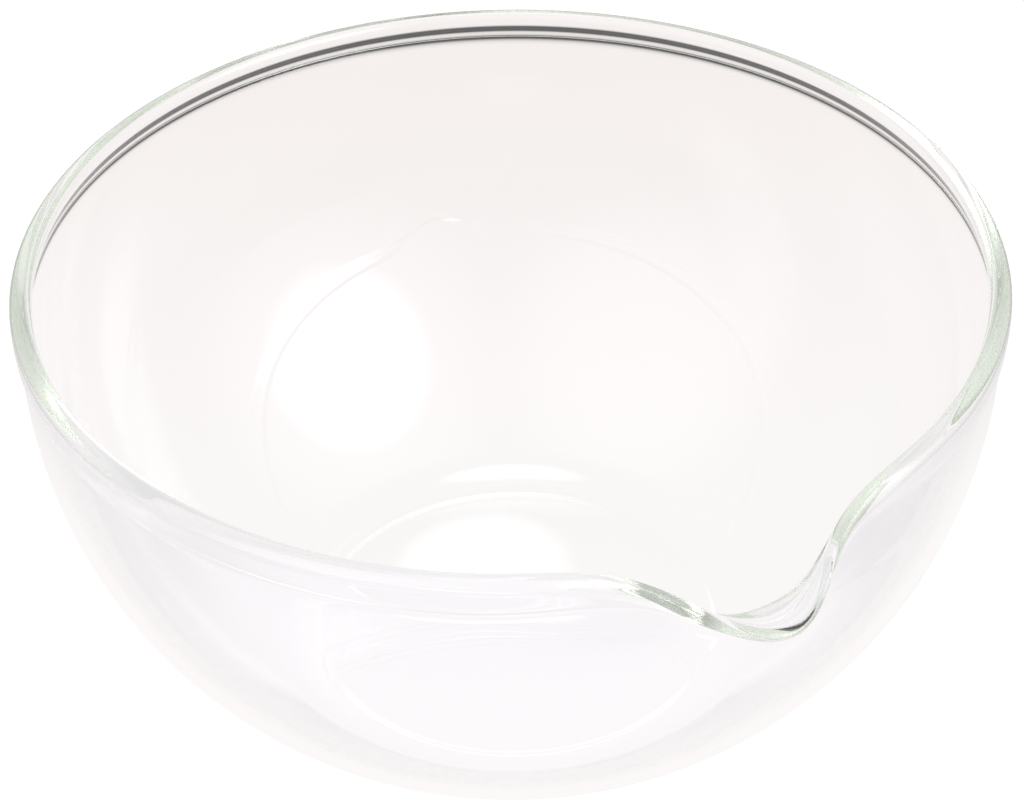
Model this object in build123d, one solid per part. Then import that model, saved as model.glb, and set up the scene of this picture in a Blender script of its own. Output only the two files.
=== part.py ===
"""Clear glass mixing bowl: one piece of glass with a rolled rim and a pulled pouring lip.

Frame: millimetres, origin at the centre of the flat foot, +Z up through the open mouth,
+X straight out over the pouring lip.
"""
import math
import os

from build123d import *

# Whole bowl
RIM_RADIUS = 92.0
HEIGHT = 90.7
WALL = 2.0

# Outline of the outside: flat foot, tight corner arc, long wall arc that ends just past upright
FOOT_RADIUS = 39.1
CORNER_RADIUS = 22.0
CORNER_TURN = math.radians(34.75)
WALL_RADIUS = 91.4

# Rolled rim, as depths below its top: the crown, the upright side, the rounding under it, and
# the hollow that runs the bead out into the wall, which takes this share of the overhang
CROWN_DEPTH = 2.0
SIDE_DEPTH = 2.8
ROUND_DEPTH = 6.4
HOLLOW_DEPTH = 8.8
HOLLOW_SHARE = 0.67

# The rim also stands in from the inside of the wall, and its top lies nearer that side
SWELL = 0.56
SWELL_HEIGHT = 2.6
CREST_SHARE = 0.36

# Pouring lip: the top band of the wall is bent outwards and pressed down
LIP_HALF_ANGLE = 32.0
BAND_HEIGHT = 20.0
LIP_REACH = 12.0
LIP_DROP = 12.4
LIP_TURN = math.radians(88.0)
LIP_THINNING = 0.5
LIP_TIGHTNESS = 0.16
LIP_SECTIONS = 33

BAND_Z = HEIGHT - BAND_HEIGHT
CROWN_Z = HEIGHT - CROWN_DEPTH
SWELL_Z = CROWN_Z - SWELL_HEIGHT
SIDE_Z = HEIGHT - SIDE_DEPTH
ROUND_Z = HEIGHT - ROUND_DEPTH
HOLLOW_Z = HEIGHT - HOLLOW_DEPTH

# Centres of the two arcs of the outside
CORNER_CENTRE = (FOOT_RADIUS, CORNER_RADIUS)
WALL_CENTRE = (
    FOOT_RADIUS + (CORNER_RADIUS - WALL_RADIUS) * math.sin(CORNER_TURN),
    CORNER_RADIUS + (WALL_RADIUS - CORNER_RADIUS) * math.cos(CORNER_TURN),
)


def wall_r(z, inset=0.0):
    """Radius of the wall at height z; inset is measured inwards from the outside face."""
    return WALL_CENTRE[0] + math.sqrt((WALL_RADIUS - inset) ** 2 - (z - WALL_CENTRE[1]) ** 2)


MID_RADIUS = wall_r(ROUND_Z, WALL / 2)
ROOT_RADIUS = wall_r(HOLLOW_Z)
ROUND_RADIUS = ROOT_RADIUS + HOLLOW_SHARE * (RIM_RADIUS - ROOT_RADIUS)
INNER_RADIUS = wall_r(CROWN_Z, WALL) - SWELL
CREST_RADIUS = INNER_RADIUS + CREST_SHARE * (RIM_RADIUS - INNER_RADIUS)


def corner_point(inset, turn):
    """Point of the corner arc after the given turn from the floor."""
    radius = CORNER_RADIUS - inset
    return (CORNER_CENTRE[0] + radius * math.sin(turn), CORNER_CENTRE[1] - radius * math.cos(turn))


def wall_point(inset, z):
    return (wall_r(z, inset), z)


# The faces of the band's section, each as a curve over u = 0..1, running from the bottom of
# the inside, over the crest of the rim, to the bottom of the outside.
def inner_face(u):
    return wall_point(WALL, BAND_Z + (SWELL_Z - BAND_Z) * u)


def swell(u):
    foot = wall_r(SWELL_Z, WALL)
    return (foot + (INNER_RADIUS - foot) * (1 - math.cos(math.pi * u)) / 2, SWELL_Z + SWELL_HEIGHT * u)


def crown(u):
    turn = math.pi * u
    side = INNER_RADIUS if u < 0.5 else RIM_RADIUS
    return (CREST_RADIUS + (side - CREST_RADIUS) * abs(math.cos(turn)), CROWN_Z + CROWN_DEPTH * math.sin(turn))


def bead_side(u):
    return (RIM_RADIUS, CROWN_Z + (SIDE_Z - CROWN_Z) * u)


def upright_arc(width, height, u):
    """How far sideways and along an arc has gone that starts upright and covers width by height."""
    radius = (width ** 2 + height ** 2) / (2 * width)
    turn = 2 * math.atan(width / height) * u
    return (radius * (1 - math.cos(turn)), radius * math.sin(turn))


def rounding(u):
    inwards, down = upright_arc(RIM_RADIUS - ROUND_RADIUS, SIDE_Z - ROUND_Z, u)
    return (RIM_RADIUS - inwards, SIDE_Z - down)


def hollow(u):
    outwards, up = upright_arc(ROUND_RADIUS - ROOT_RADIUS, ROUND_Z - HOLLOW_Z, 1 - u)
    return (ROOT_RADIUS + outwards, HOLLOW_Z + up)


def outer_face(u):
    return wall_point(0.0, HOLLOW_Z + (BAND_Z - HOLLOW_Z) * u)


BAND_CURVES = (
    (inner_face, 7),
    (swell, 7),
    (crown, 13),
    (bead_side, 2),
    (rounding, 7),
    (hollow, 7),
    (outer_face, 6),
)


def lip_weight(angle, power):
    """1 at the middle of the lip, falling smoothly to 0 where it runs out into the rim."""
    return math.cos(math.pi / 2 * min(abs(angle) / LIP_HALF_ANGLE, 1.0)) ** power


def bend(angle, point):
    """Carry a point of the plain section to its place in the lip's section at this angle."""
    r, z = point
    t = (z - BAND_Z) / BAND_HEIGHT
    reach = lip_weight(angle, 12)
    turn = LIP_TURN * lip_weight(angle, 2)
    arm = BAND_HEIGHT / 3
    pull = arm * (1 - LIP_TIGHTNESS * reach)
    tip = (MID_RADIUS + LIP_REACH * reach, HEIGHT - LIP_DROP * lip_weight(angle, 4))
    poles = (
        (MID_RADIUS, BAND_Z),
        (MID_RADIUS, BAND_Z + arm),
        (tip[0] - pull * math.sin(turn), tip[1] - pull * math.cos(turn)),
        tip,
    )
    share = ((1 - t) ** 3, 3 * t * (1 - t) ** 2, 3 * t * t * (1 - t), t ** 3)
    rate = (-3 * (1 - t) ** 2, 3 * (1 - t) * (1 - 3 * t), 3 * t * (2 - 3 * t), 3 * t * t)
    centre = [sum(s * p[k] for s, p in zip(share, poles)) for k in (0, 1)]
    along = [sum(s * p[k] for s, p in zip(rate, poles)) for k in (0, 1)]
    length = math.hypot(*along)
    offset = (r - MID_RADIUS) * (1 - LIP_THINNING * reach * t * t)
    return (centre[0] + offset * along[1] / length, centre[1] - offset * along[0] / length)


def band_edge(curve, count, angle):
    """One face of the section at this angle round the bowl, as a smooth edge."""
    c, s = math.cos(math.radians(angle)), math.sin(math.radians(angle))

    def at(u):
        r, z = bend(angle, curve(u))
        return Vector(r * c, r * s, z)

    step = 1e-4
    ends = [(at(u + step) - at(u - step)).normalized() for u in (0.0, 1.0)]
    return Edge.make_spline([at(i / (count - 1)) for i in range(count)], tangents=ends)


def band_section(angle):
    edges = [band_edge(curve, count, angle) for curve, count in BAND_CURVES]
    edges.append(Edge.make_line(edges[-1] @ 1, edges[0] @ 0))
    return Wire(edges)


def on_section(point):
    return Vector(point[0], 0, point[1])


def lower_bowl():
    """Foot, corner and wall up to the bottom of the band, turned all the way round."""
    outside = [corner_point(0.0, CORNER_TURN * k / 2) for k in range(3)]
    inside = [corner_point(WALL, CORNER_TURN * k / 2) for k in range(3)]
    wall_mid_z = (outside[2][1] + BAND_Z) / 2
    edges = [
        Edge.make_line((0, 0, 0), on_section(outside[0])),
        Edge.make_three_point_arc(*[on_section(p) for p in outside]),
        Edge.make_three_point_arc(
            on_section(outside[2]),
            on_section(wall_point(0.0, wall_mid_z)),
            on_section(wall_point(0.0, BAND_Z)),
        ),
        Edge.make_line(on_section(wall_point(0.0, BAND_Z)), on_section(wall_point(WALL, BAND_Z))),
        Edge.make_three_point_arc(
            on_section(wall_point(WALL, BAND_Z)),
            on_section(wall_point(WALL, wall_mid_z)),
            on_section(inside[2]),
        ),
        Edge.make_three_point_arc(*[on_section(p) for p in reversed(inside)]),
        Edge.make_line(on_section(inside[0]), (0, 0, WALL)),
        Edge.make_line((0, 0, WALL), (0, 0, 0)),
    ]
    return revolve(Face(Wire(edges)), Axis.Z, 360)


def rim_band():
    """The plain part of the top band and rolled rim, from one end of the lip round to the other."""
    start = Face(band_section(LIP_HALF_ANGLE))
    return revolve(start, Axis.Z, 360 - 2 * LIP_HALF_ANGLE)


def lip_band():
    """The bent part of the band, through closely spaced sections."""
    step = 2 * LIP_HALF_ANGLE / (LIP_SECTIONS - 1)
    angles = [-LIP_HALF_ANGLE + step * k for k in range(LIP_SECTIONS)]
    return Solid.make_loft([band_section(a) for a in angles])


def glass_bowl():
    bowl = lower_bowl().fuse(rim_band(), lip_band(), tol=1e-3)
    bowl.label = "glass_bowl"
    bowl.color = Color(0.86, 0.93, 0.90, 0.45)
    return bowl


def main():
    os.makedirs("parts", exist_ok=True)
    export_step(glass_bowl(), "parts/glass_bowl.step")


main()
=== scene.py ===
"""Clear glass mixing bowl on a pale floor: fine glass mesh, glass material, studio light and camera."""
import math

import bpy
from mathutils import Matrix, Vector

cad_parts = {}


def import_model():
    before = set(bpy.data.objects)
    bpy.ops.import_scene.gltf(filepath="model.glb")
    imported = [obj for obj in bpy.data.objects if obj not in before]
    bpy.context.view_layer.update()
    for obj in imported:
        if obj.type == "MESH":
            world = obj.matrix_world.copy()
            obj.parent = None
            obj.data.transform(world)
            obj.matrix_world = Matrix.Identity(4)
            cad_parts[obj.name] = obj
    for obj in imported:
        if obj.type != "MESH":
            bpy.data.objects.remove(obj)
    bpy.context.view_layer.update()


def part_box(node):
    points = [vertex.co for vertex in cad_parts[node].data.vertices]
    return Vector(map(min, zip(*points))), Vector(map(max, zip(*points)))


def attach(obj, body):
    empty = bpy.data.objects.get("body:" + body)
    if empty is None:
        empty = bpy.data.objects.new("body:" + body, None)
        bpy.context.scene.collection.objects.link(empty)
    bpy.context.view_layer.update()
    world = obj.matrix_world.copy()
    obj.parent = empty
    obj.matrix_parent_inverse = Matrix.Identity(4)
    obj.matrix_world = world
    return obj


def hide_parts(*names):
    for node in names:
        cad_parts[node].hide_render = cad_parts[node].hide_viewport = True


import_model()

# ---- glass, metres: the same driving dimensions as the CAD part ----
BOWL_LOW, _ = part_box("glass_bowl")
RIM_RADIUS = -BOWL_LOW[1]
HEIGHT = 0.0907
WALL = 0.0020
FOOT_RADIUS = 0.0391
CORNER_RADIUS = 0.0220
CORNER_TURN = math.radians(34.75)
WALL_RADIUS = 0.0914
CROWN_DEPTH = 0.0020
SIDE_DEPTH = 0.0028
ROUND_DEPTH = 0.0064
HOLLOW_DEPTH = 0.0088
HOLLOW_SHARE = 0.67
SWELL = 0.00056
SWELL_HEIGHT = 0.0026
CREST_SHARE = 0.36
LIP_HALF_ANGLE = math.radians(32.0)
BAND_HEIGHT = 0.0200
LIP_REACH = 0.0120
LIP_DROP = 0.0124
LIP_TURN = math.radians(88.0)
LIP_THINNING = 0.5
LIP_TIGHTNESS = 0.16

BAND_Z = HEIGHT - BAND_HEIGHT
CROWN_Z = HEIGHT - CROWN_DEPTH
SWELL_Z = CROWN_Z - SWELL_HEIGHT
SIDE_Z = HEIGHT - SIDE_DEPTH
ROUND_Z = HEIGHT - ROUND_DEPTH
HOLLOW_Z = HEIGHT - HOLLOW_DEPTH
WALL_CENTRE_R = FOOT_RADIUS + (CORNER_RADIUS - WALL_RADIUS) * math.sin(CORNER_TURN)
WALL_CENTRE_Z = CORNER_RADIUS + (WALL_RADIUS - CORNER_RADIUS) * math.cos(CORNER_TURN)


def wall_r(z, inset=0.0):
    return WALL_CENTRE_R + math.sqrt((WALL_RADIUS - inset) ** 2 - (z - WALL_CENTRE_Z) ** 2)


MID_RADIUS = wall_r(ROUND_Z, WALL / 2)
ROOT_RADIUS = wall_r(HOLLOW_Z)
ROUND_RADIUS = ROOT_RADIUS + HOLLOW_SHARE * (RIM_RADIUS - ROOT_RADIUS)
INNER_RADIUS = wall_r(CROWN_Z, WALL) - SWELL
CREST_RADIUS = INNER_RADIUS + CREST_SHARE * (RIM_RADIUS - INNER_RADIUS)


def spread(count, start=0.0, end=1.0, closed=False):
    """Even steps from start to end; the end itself only when closed."""
    last = count - 1 if closed else count
    return [start + (end - start) * k / last for k in range(count)]


def body_run(inset):
    """Outline of one side of the body, from the axis out and up to the band."""
    radius = CORNER_RADIUS - inset
    run = [(FOOT_RADIUS * u, inset) for u in spread(16)[1:]]
    for turn in spread(18, 0.0, CORNER_TURN):
        run.append((FOOT_RADIUS + radius * math.sin(turn), CORNER_RADIUS - radius * math.cos(turn)))
    wall_radius = WALL_RADIUS - inset
    top_turn = math.acos((WALL_CENTRE_Z - BAND_Z) / wall_radius)
    for turn in spread(56, CORNER_TURN, top_turn):
        out, down = wall_radius * math.sin(turn), wall_radius * math.cos(turn)
        run.append((WALL_CENTRE_R + out, WALL_CENTRE_Z - down))
    return run


def band_run():
    """Outline of the band and rolled rim, from the inside over the crown to the outside."""
    run = [(wall_r(z, WALL), z) for z in spread(20, BAND_Z, SWELL_Z)]
    foot = wall_r(SWELL_Z, WALL)
    for u in spread(14):
        share = (1 - math.cos(math.pi * u)) / 2
        run.append((foot + (INNER_RADIUS - foot) * share, SWELL_Z + SWELL_HEIGHT * u))
    for turn in spread(36, 0.0, math.pi):
        side = INNER_RADIUS if turn < math.pi / 2 else RIM_RADIUS
        across = (side - CREST_RADIUS) * abs(math.cos(turn))
        run.append((CREST_RADIUS + across, CROWN_Z + CROWN_DEPTH * math.sin(turn)))
    run += [(RIM_RADIUS, z) for z in spread(3, CROWN_Z, SIDE_Z)]
    width, height = RIM_RADIUS - ROUND_RADIUS, SIDE_Z - ROUND_Z
    for turn in spread(18, 0.0, math.pi / 2):
        run.append((ROUND_RADIUS + width * math.cos(turn), SIDE_Z - height * math.sin(turn)))
    width, height = ROUND_RADIUS - ROOT_RADIUS, ROUND_Z - HOLLOW_Z
    for turn in spread(14, 0.0, math.pi / 2):
        run.append((ROUND_RADIUS - width * math.sin(turn), HOLLOW_Z + height * math.cos(turn)))
    run += [(wall_r(z), z) for z in spread(18, HOLLOW_Z, BAND_Z)]
    return run


def lip_weight(angle, power):
    return math.cos(math.pi / 2 * min(abs(angle) / LIP_HALF_ANGLE, 1.0)) ** power


def bend(angle, point):
    """Carry a point of the plain band to its place in the lip's section at this angle."""
    r, z = point
    if z <= BAND_Z or abs(angle) >= LIP_HALF_ANGLE:
        return point
    t = (z - BAND_Z) / BAND_HEIGHT
    reach = lip_weight(angle, 12)
    turn = LIP_TURN * lip_weight(angle, 2)
    arm = BAND_HEIGHT / 3
    pull = arm * (1 - LIP_TIGHTNESS * reach)
    tip = (MID_RADIUS + LIP_REACH * reach, HEIGHT - LIP_DROP * lip_weight(angle, 4))
    poles = (
        (MID_RADIUS, BAND_Z),
        (MID_RADIUS, BAND_Z + arm),
        (tip[0] - pull * math.sin(turn), tip[1] - pull * math.cos(turn)),
        tip,
    )
    share = ((1 - t) ** 3, 3 * t * (1 - t) ** 2, 3 * t * t * (1 - t), t ** 3)
    rate = (-3 * (1 - t) ** 2, 3 * (1 - t) * (1 - 3 * t), 3 * t * (2 - 3 * t), 3 * t * t)
    centre = [sum(s * p[k] for s, p in zip(share, poles)) for k in (0, 1)]
    along = [sum(s * p[k] for s, p in zip(rate, poles)) for k in (0, 1)]
    length = math.hypot(*along)
    offset = (r - MID_RADIUS) * (1 - LIP_THINNING * reach * t * t)
    return (centre[0] + offset * along[1] / length, centre[1] - offset * along[0] / length)


def round_angles():
    """Angles round the bowl, closer together over the lip."""
    lip = spread(128, -LIP_HALF_ANGLE, LIP_HALF_ANGLE)
    rest = spread(240, LIP_HALF_ANGLE, 2 * math.pi - LIP_HALF_ANGLE)
    return lip + rest


def glass_mesh(name):
    section = body_run(WALL) + band_run() + list(reversed(body_run(0.0)))
    angles = round_angles()
    verts = [(0.0, 0.0, WALL), (0.0, 0.0, 0.0)]
    for angle in angles:
        c, s = math.cos(angle), math.sin(angle)
        wrapped = (angle + math.pi) % (2 * math.pi) - math.pi
        for point in section:
            r, z = bend(wrapped, point)
            verts.append((r * c, r * s, z))
    rows, columns = len(section), len(angles)

    def at(column, row):
        return 2 + (column % columns) * rows + row

    faces = []
    for i in range(columns):
        faces.append((0, at(i, 0), at(i + 1, 0)))
        faces.append((1, at(i + 1, rows - 1), at(i, rows - 1)))
        for j in range(rows - 1):
            faces.append((at(i, j), at(i, j + 1), at(i + 1, j + 1), at(i + 1, j)))
    mesh = bpy.data.meshes.new(name)
    mesh.from_pydata(verts, [], faces)
    mesh.validate()
    mesh.shade_smooth()
    piece = bpy.data.objects.new(name, mesh)
    bpy.context.scene.collection.objects.link(piece)
    return piece


def feed(tree, socket, value):
    if isinstance(value, bpy.types.NodeSocket):
        tree.links.new(value, socket)
    else:
        socket.default_value = value


def maths(tree, operation, *values):
    node = tree.nodes.new("ShaderNodeMath")
    node.operation = operation
    for socket, value in zip(node.inputs, values):
        feed(tree, socket, value)
    return node.outputs["Value"]


def towards(tree, vector, direction):
    """How far the vector points along the direction, from -1 to 1."""
    node = tree.nodes.new("ShaderNodeVectorMath")
    node.operation = "DOT_PRODUCT"
    feed(tree, node.inputs[0], vector)
    node.inputs[1].default_value = direction
    return node.outputs["Value"]


def ease(tree, value, start, end, low=0.0, high=1.0):
    """Smooth change from low at start to high at end."""
    node = tree.nodes.new("ShaderNodeMapRange")
    node.interpolation_type = "SMOOTHSTEP"
    terms = {"Value": value, "From Min": start, "From Max": end, "To Min": low, "To Max": high}
    for name, term in terms.items():
        feed(tree, node.inputs[name], term)
    return node.outputs["Result"]


def added(tree, first, second):
    node = tree.nodes.new("ShaderNodeVectorMath")
    node.operation = "ADD"
    feed(tree, node.inputs[0], first)
    feed(tree, node.inputs[1], second)
    return node.outputs["Vector"]


def blend(tree, share, first, second):
    node = tree.nodes.new("ShaderNodeMix")
    node.data_type = "RGBA"
    feed(tree, node.inputs["Factor"], share)
    feed(tree, node.inputs["A"], first)
    feed(tree, node.inputs["B"], second)
    return node.outputs["Result"]


def glass_material():
    material = bpy.data.materials.new("clear_glass")
    material.use_nodes = True
    nodes, links = material.node_tree.nodes, material.node_tree.links
    shader = nodes["Principled BSDF"]
    shader.inputs["Base Color"].default_value = (1.0, 1.0, 1.0, 1.0)
    shader.inputs["Roughness"].default_value = 0.0
    shader.inputs["IOR"].default_value = 1.473
    shader.inputs["Transmission Weight"].default_value = 1.0
    absorb = nodes.new("ShaderNodeVolumeAbsorption")
    absorb.inputs["Color"].default_value = (0.70, 0.86, 0.60, 1.0)
    absorb.inputs["Density"].default_value = 1.2
    links.new(absorb.outputs["Volume"], nodes["Material Output"].inputs["Volume"])
    return material


bowl = glass_mesh("bowl_glass")
bowl.data.materials.append(glass_material())
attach(bowl, "root")
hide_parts("glass_bowl")

# ---- stage: a lit white table in a darker studio ----
# Clear glass shows only its surroundings, so floor and world give each kind of ray its own light: the
# camera sees plain white; rays bent by the glass see the lit table and the dark room round it, which
# draw the dark lines of the rim; rays straight through both walls, or straight towards the camera's
# side, stay pale; mirrored rays see an even room, so that the soft lights alone stand out in the wall.
VIEW_AZIMUTH = math.radians(-26.3)
AWAY = (-math.cos(VIEW_AZIMUTH), -math.sin(VIEW_AZIMUTH), 0.0)
# Half the side of the floor, and its drop below the foot, which keeps the two faces apart
FLOOR_HALF = 6.0
FLOOR_GAP = 0.0002
WHITE = (1.06, 1.06, 1.06, 1)
# The table's painted light, under the bowl and behind it, darker behind by painted shade
TABLE_LIGHT_NEAR = (0.975, 0.945, 0.945, 1)
TABLE_LIGHT_FAR = (0.91, 0.865, 0.845, 1)
# What rays straight through both walls see: the table under the bowl and, darker by painted shade, at
# its edge, and the room
PALE = (0.995, 0.975, 0.995, 1)
PALE_SHADED_EDGE = (0.90, 0.875, 0.895, 1)
PALE_ROOM = (0.95, 0.95, 0.95, 1)
# Painted shade: the dark table beyond its lit part, and the dark room round it
DARK = 0.05
# What a ray mirrored once sees of the floor from outside the glass, a painted shade, and of everything
# from inside it, an even painted grey
MIRRORED = (0.20, 0.18, 0.18, 1)
MIRRORED_WITHIN = (0.80, 0.80, 0.80, 1)
# How much a ray mirrored more often, inside the rim, sees of the room as it is
OFTEN_AS_IS = 0.5
# Where one light passes into the next: on the table, by distance from the bowl's axis
TABLE_END = (0.25, 0.40)
PALE_TO_SHADED_EDGE = (0.05, 0.085)
MIRRORED_END = (0.10, 0.30)
# On the table, by distance from the axis along the camera's line of sight
NEAR_TO_FAR = (0.03, 0.25)
TABLE_NEAR_SIDE = (-0.25, -0.12)
TABLE_FAR_SIDE = (0.2, 0.4)
# In the room, by how far the ray points along that line, from -1 to 1
ROOM_NEAR_SIDE = (0.0, 0.3)
ROOM_FAR_SIDE = (0.2, 0.5)
# Light in the sky behind the bowl, and the height where it begins
SKY = 0.9
SKY_HEIGHT = (math.sin(math.radians(25.0)), math.sin(math.radians(32.0)))
# Soft lights: azimuth, elevation, inner and outer half angle (degrees), strength
SOFTBOXES = (
    (30.0, 34.5, 2.0, 25.0, 4.0),  # large light to the right of the camera
    (30.0, 34.5, 14.0, 46.0, 0.5),  # the glow round it
    (-71.0, 38.0, 2.0, 44.0, 0.55),  # weak, wide light to the left
    (154.6, 40.1, 0.8, 2.2, 2.0),  # small light behind the bowl
    (153.7, 78.0, 5.0, 11.0, 2.0),  # light overhead
)


def direction(azimuth, elevation):
    a, e = math.radians(azimuth), math.radians(elevation)
    return (math.cos(a) * math.cos(e), math.sin(a) * math.cos(e), math.sin(e))


def ray_kinds(tree):
    """Which kind of ray arrives, as 0 or 1 for each kind. Four faces of glass are two walls."""
    path = tree.nodes.new("ShaderNodeLightPath")
    turns, faces = path.outputs["Glossy Depth"], path.outputs["Transmission Depth"]
    straight = maths(tree, "LESS_THAN", turns, 0.5)
    return {
        "camera": path.outputs["Is Camera Ray"],
        "straight": straight,
        "through both walls": maths(tree, "MULTIPLY", straight, maths(tree, "GREATER_THAN", faces, 3.5)),
        "mirrored": maths(tree, "GREATER_THAN", turns, 0.5),
        "mirrored often": maths(tree, "GREATER_THAN", turns, 1.5),
        "outside the glass": maths(tree, "LESS_THAN", faces, 0.5),
    }


def pale_share(tree, rays, nearer):
    """Rays that see pale surroundings: through both walls, or straight towards the near side."""
    straight = maths(tree, "MULTIPLY", rays["straight"], nearer)
    return maths(tree, "MAXIMUM", rays["through both walls"], straight)


def floor_light(tree):
    """Painted light and shade of the table, as the emitting floor shows it to each kind of ray."""
    place = tree.nodes.new("ShaderNodeTexCoord").outputs["Object"]
    length = tree.nodes.new("ShaderNodeVectorMath")
    length.operation = "LENGTH"
    tree.links.new(place, length.inputs[0])
    distance = length.outputs["Value"]
    along = towards(tree, place, AWAY)
    rays = ray_kinds(tree)
    beyond = ease(tree, distance, *TABLE_END)
    # Painted light on the table, fading to painted shade further along the line of sight
    white = blend(tree, ease(tree, along, *NEAR_TO_FAR), TABLE_LIGHT_NEAR, TABLE_LIGHT_FAR)
    # Painted shade: beyond the lit part the table shows dark
    lit = blend(tree, beyond, white, (DARK, DARK, DARK, 1))
    # Painted shade for mirrored rays: away from the bowl the floor shows dark from outside the glass and
    # even grey from inside it
    often = ease(tree, along, *TABLE_FAR_SIDE, OFTEN_AS_IS, 1.0)
    as_is = maths(tree, "MULTIPLY", rays["mirrored often"], often)
    far = blend(tree, rays["outside the glass"], blend(tree, as_is, MIRRORED_WITHIN, lit), MIRRORED)
    dim = blend(tree, ease(tree, distance, *MIRRORED_END), white, far)
    lit = blend(tree, rays["mirrored"], lit, dim)
    # Painted shade: the pale table darkens towards its edge
    pale = blend(tree, ease(tree, distance, *PALE_TO_SHADED_EDGE), PALE, PALE_SHADED_EDGE)
    nearer = ease(tree, along, *TABLE_NEAR_SIDE, 1.0, 0.0)
    shown = blend(tree, pale_share(tree, rays, nearer), lit, pale)
    return blend(tree, rays["camera"], shown, WHITE)


def floor():
    mesh = bpy.data.meshes.new("floor")
    half = FLOOR_HALF
    corners = [(-half, -half, 0), (half, -half, 0), (half, half, 0), (-half, half, 0)]
    mesh.from_pydata(corners, [], [(0, 1, 2, 3)])
    piece = bpy.data.objects.new("floor", mesh)
    piece.location.z = -FLOOR_GAP
    bpy.context.scene.collection.objects.link(piece)
    material = bpy.data.materials.new("floor")
    material.use_nodes = True
    tree = material.node_tree
    tree.nodes.remove(tree.nodes["Principled BSDF"])
    glow = tree.nodes.new("ShaderNodeEmission")
    tree.links.new(floor_light(tree), glow.inputs["Color"])
    tree.links.new(glow.outputs["Emission"], tree.nodes["Material Output"].inputs["Surface"])
    mesh.materials.append(material)


def room_light(tree):
    """Colour of the room for each kind of ray."""
    way = tree.nodes.new("ShaderNodeTexCoord").outputs["Generated"]
    rays = ray_kinds(tree)
    height = towards(tree, way, (0.0, 0.0, 1.0))
    ahead = towards(tree, way, AWAY)
    behind = ease(tree, ahead, *ROOM_FAR_SIDE)
    high = ease(tree, height, *SKY_HEIGHT)
    room = ease(tree, maths(tree, "MULTIPLY", behind, high), 0.0, 1.0, DARK, SKY)
    often = ease(tree, ahead, *ROOM_FAR_SIDE, OFTEN_AS_IS, 1.0)
    as_is = maths(tree, "MULTIPLY", rays["mirrored often"], often)
    room = blend(tree, rays["mirrored"], room, blend(tree, as_is, MIRRORED_WITHIN, room))
    for azimuth, elevation, inner, outer, strength in SOFTBOXES:
        facing = towards(tree, way, direction(azimuth, elevation))
        edge, full = math.cos(math.radians(outer)), math.cos(math.radians(inner))
        spot = ease(tree, facing, edge, full, 0.0, strength)
        room = added(tree, room, spot)
    nearer = ease(tree, ahead, *ROOM_NEAR_SIDE, 1.0, 0.0)
    shown = blend(tree, pale_share(tree, rays, nearer), room, PALE_ROOM)
    return blend(tree, rays["camera"], shown, WHITE)


def world():
    scene = bpy.context.scene
    scene.world = bpy.data.worlds.new("studio")
    scene.world.use_nodes = True
    tree = scene.world.node_tree
    tree.links.new(room_light(tree), tree.nodes["Background"].inputs["Color"])


floor()
world()

# ---- camera ----
VIEW_ELEVATION = math.radians(34.88)
VIEW_DISTANCE = 6.0 * RIM_RADIUS
AIM_BELOW = math.radians(2.827)
ROLL = math.radians(-0.73)
FOCAL_PIXELS = 2986.6
IMAGE_WIDTH = 1024


def camera():
    flat = math.cos(VIEW_ELEVATION) * VIEW_DISTANCE
    up_by = math.sin(VIEW_ELEVATION) * VIEW_DISTANCE
    place = Vector((flat * math.cos(VIEW_AZIMUTH), flat * math.sin(VIEW_AZIMUTH), HEIGHT + up_by))
    dip = VIEW_ELEVATION + AIM_BELOW
    level = math.cos(dip)
    forward = Vector((-math.cos(VIEW_AZIMUTH) * level, -math.sin(VIEW_AZIMUTH) * level, -math.sin(dip)))
    right = forward.cross(Vector((0, 0, 1))).normalized()
    up = right.cross(forward)
    c, s = math.cos(ROLL), math.sin(ROLL)
    right, up = c * right + s * up, c * up - s * right
    lens = bpy.data.cameras.new("camera")
    lens.sensor_width = 36.0
    lens.lens = FOCAL_PIXELS * lens.sensor_width / IMAGE_WIDTH
    piece = bpy.data.objects.new("camera", lens)
    piece.matrix_world = Matrix((right, up, -forward)).transposed().to_4x4()
    piece.location = place
    bpy.context.scene.collection.objects.link(piece)
    bpy.context.scene.camera = piece


camera()

# ---- render: light goes round inside the rim many times ----
BOUNCES = 256
scene = bpy.context.scene
scene.view_settings.view_transform = "Standard"
scene.cycles.max_bounces = BOUNCES
scene.cycles.transmission_bounces = BOUNCES
scene.cycles.glossy_bounces = BOUNCES
scene.cycles.blur_glossy = 0.0
scene.cycles.sample_clamp_indirect = 0.0
